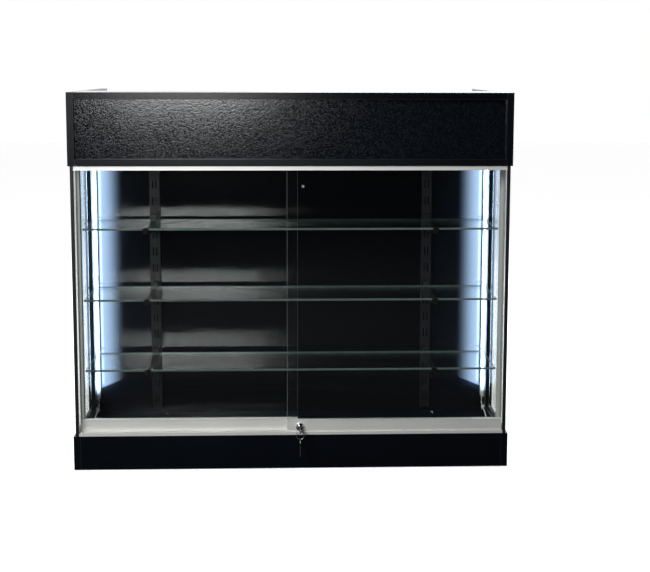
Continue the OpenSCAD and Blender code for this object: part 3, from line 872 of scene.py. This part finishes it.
class SHOWCASE_OT_lamps(bpy.types.Operator):
    """Lights the bars and finishes what feeds them"""

    bl_idname = "showcase.lamps"
    bl_label = "Light bars"

    # The white cap under each bar's lens
    end_cap = {"wall": 0.0013, "bottom_gap": 0.0004, "top_gap": 0.0002, "round": 0.0009}
    # The clip on the side board that holds the lead, and the foot that it stands on
    clip = {"depth": 0.0083, "inset": 0, "bottom": 0.0862, "top": 0.0962, "round": 0.0016}
    clip_foot = {
        "depth": 0.0018, "inset": 0.0008, "bottom": 0.0822, "top": 0.1002, "round": 0.0006}
    clip_ahead = 0.018
    # The rubber grommet where the lead goes through the deck, with its outline in millimetres
    grommet_place = (0.580, -0.112)
    grommet_outline = (
        (1.85, -16), (1.85, 2.0), (3.6, 2.7), (5.6, 2.3), (6.9, 1.0), (7.1, 0.0), (4.4, 0.0),
        (4.4, -16), (1.85, -16))
    # The inlet's pins: across and up from its middle, and in from its mouth
    pin_places = ((-0.0055, -0.0015), (0.0, 0.0015), (0.0055, -0.0015))
    pin_half_width, pin_half_height, pin_round = 0.001, 0.002, 0.0003
    pin_tip, pin_root = 0.004, 0.0165
    # The glow on the wall: side-by-side strips of light that fade away from the bar
    strips, fading, strip_rise, strip_ahead = 12, 2.2, 0.0025, 0.006
    light_end = 0.015
    spreads = {"throw": 150, "bar": 60}
    glow_spread = 125

    def execute(self, context):
        values = context.scene.showcase_lamps
        low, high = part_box("led_diffusers")
        white = moulded_plastic("white_nylon", (0.78, 0.78, 0.77), 0.38)
        rubber = seal_rubber("grommet_rubber", (0.01, 0.01, 0.01))
        for side, sign in SIDES.items():
            self.add_light(side, sign, values)
            self.add_lead_parts(side, sign, values, white, rubber)
        self.add_inlet_pins()
        repaint(light_lens("light_lens", values.colour, values.strength, low.z, high.z),
                "led_diffusers")
        repaint(satin_metal("satin_channel", context.scene.showcase_metal.aluminium_colour, 2),
                "led_channel_left", "led_channel_right")
        repaint(circuit_board("light_board"), "led_boards")
        repaint(moulded_plastic("white_lead_pvc", (0.72, 0.72, 0.72), 0.4),
                "led_lead_left", "led_lead_right")
        repaint(moulded_plastic("driver_case", (0.7, 0.7, 0.67), 0.5, 600), "led_driver")
        repaint(moulded_plastic("inlet_plastic", (0.01, 0.01, 0.011), 0.5), "power_inlet")
        repaint(moulded_plastic("black_lead_pvc", (0.009, 0.009, 0.01), 0.42), "driver_lead")
        return {"FINISHED"}

    def add_lead_parts(self, side, sign, values, white, rubber):
        """The bar's end cap, the clip on the side board and the grommet in the deck."""
        low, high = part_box("led_channel_" + side)
        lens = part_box("led_diffusers")[0].z
        cap, wall = self.end_cap, self.end_cap["wall"]
        mesh = bmesh.new()
        block(mesh,
              (low.x + (wall if sign < 0 else 0), low.y + wall, low.z + cap["bottom_gap"]),
              (high.x - (wall if sign > 0 else 0), high.y - wall, lens - cap["top_gap"]))
        soften(mesh, mesh.edges[:], cap["round"], 3)
        new_piece("bar_end_cap_" + side, mesh, "cabinet", "led_lens", white)

        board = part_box("side_panel_" + side)[0 if sign > 0 else 1].x
        mesh = bmesh.new()
        for part, segments in ((self.clip, 3), (self.clip_foot, 2)):
            across = (board, board - sign * part["depth"])
            front = low.y - self.clip_ahead + part["inset"]
            back = front + values.clip_width - 2 * part["inset"]
            made = block(mesh, (min(across), front, part["bottom"]),
                         (max(across), back, part["top"]))
            soften(mesh, edges_of(mesh, made), part["round"], segments)
        new_piece("lead_clip_" + side, mesh, "cabinet", "lead_pvc", white)

        mesh = bmesh.new()
        turned(mesh, [(a / 1000, b / 1000) for a, b in self.grommet_outline],
               (sign * self.grommet_place[0], self.grommet_place[1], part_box("deck")[1].z),
               (0, 0, 1))
        new_piece("lead_grommet_" + side, mesh, "cabinet", "seal_rubber", rubber, smooth=True)

    def add_inlet_pins(self):
        """Three flat pins in the mouth of the inlet."""
        low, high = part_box("power_inlet")
        centre = (low + high) / 2
        mesh = bmesh.new()
        for across, up in self.pin_places:
            x, z = centre.x + across, centre.z + up
            made = block(
                mesh,
                (x - self.pin_half_width, high.y - self.pin_root, z - self.pin_half_height),
                (x + self.pin_half_width, high.y - self.pin_tip, z + self.pin_half_height))
            soften(mesh, edges_of(mesh, made), self.pin_round, 2)
        new_piece("inlet_pins", mesh, "cabinet", "plug_brass",
                  bright_metal("pin_brass", (0.75, 0.6, 0.32), 0.25))

    def add_light(self, side, sign, values):
        """What a bar throws: a glow on the wall beside it and a little along the shelves."""
        low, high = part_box("led_diffusers")
        front, inward, up = Vector((0, -1, 0)), Vector((sign, 0, 0)), Vector((0, 0, 1))
        shares = [
            math.cos(math.pi / 2 * i / self.strips) ** self.fading for i in range(self.strips)]
        # Name, power, width, inset from the bar, depth, the way its back faces, rise of its foot
        lights = [
            ("throw", values.throw_power, 0.010, 0.004, (low.y + high.y) / 2, inward, 0),
            ("bar", values.bar_power, 0.008, -0.002, low.y - 0.030, front, 0)]
        for i, share in enumerate(shares):
            lights.append((
                f"glow_{i}", values.glow_power * share / sum(shares), values.strip_width,
                values.strip_width * (i + 0.5), high.y - self.strip_ahead, front,
                self.strip_rise * i))
        for name, power, width, inset, y, away, lift in lights:
            bottom, top = low.z + self.light_end + lift, high.z - self.light_end
            data = bpy.data.lights.new(f"{name}_{side}", "AREA")
            data.shape = "RECTANGLE"
            data.size, data.size_y = width, top - bottom
            data.energy, data.color = power, values.glow_colour
            data.spread = math.radians(self.spreads.get(name, self.glow_spread))
            lamp = bpy.data.objects.new(f"{name}_{side}", data)
            bpy.context.scene.collection.objects.link(lamp)
            turn = Matrix((up.cross(away), up, away)).transposed().to_4x4()
            place = Vector((sign * (high.x - inset), y, (bottom + top) / 2))
            lamp.matrix_world = Matrix.Translation(place) @ turn
            lamp.visible_camera = False


class SHOWCASE_PT_panel(bpy.types.Panel):
    """Shows the showcase's operators and settings"""

    bl_idname = "SHOWCASE_PT_panel"
    bl_label = "Display showcase"
    bl_space_type = "VIEW_3D"
    bl_region_type = "UI"
    bl_category = "Showcase"

    def draw(self, context):
        for operator in OPERATORS:
            self.layout.operator(operator.bl_idname)
        for name in SETTINGS:
            box = self.layout.box()
            values = getattr(context.scene, name)
            for key in values.bl_rna.properties.keys():
                if key not in ("rna_type", "name"):
                    box.prop(values, key)


SETTINGS = {
    "showcase_boards": BoardSettings,
    "showcase_glass": GlassSettings,
    "showcase_metal": MetalSettings,
    "showcase_lamps": LampSettings,
    "showcase_stage": StageSettings,
}
OPERATORS = (
    SHOWCASE_OT_stage,
    SHOWCASE_OT_boards,
    SHOWCASE_OT_feet,
    SHOWCASE_OT_panes,
    SHOWCASE_OT_tracks,
    SHOWCASE_OT_lock,
    SHOWCASE_OT_supports,
    SHOWCASE_OT_lamps,
)


def register():
    for name, group in SETTINGS.items():
        bpy.utils.register_class(group)
        setattr(bpy.types.Scene, name, PointerProperty(type=group))
    for operator in OPERATORS:
        bpy.utils.register_class(operator)
    bpy.utils.register_class(SHOWCASE_PT_panel)


def unregister():
    bpy.utils.unregister_class(SHOWCASE_PT_panel)
    for operator in reversed(OPERATORS):
        bpy.utils.unregister_class(operator)
    for name, group in SETTINGS.items():
        delattr(bpy.types.Scene, name)
        bpy.utils.unregister_class(group)


def main():
    register()
    scene = bpy.context.scene
    scene.view_settings.view_transform = "Standard"
    scene.cycles.transparent_max_bounces = 24
    bpy.ops.showcase.stage()
    bpy.ops.showcase.boards()
    bpy.ops.showcase.feet()
    bpy.ops.showcase.panes()
    bpy.ops.showcase.tracks()
    bpy.ops.showcase.lock()
    bpy.ops.showcase.supports()
    bpy.ops.showcase.lamps()


if __name__ == "__main__":
    main()
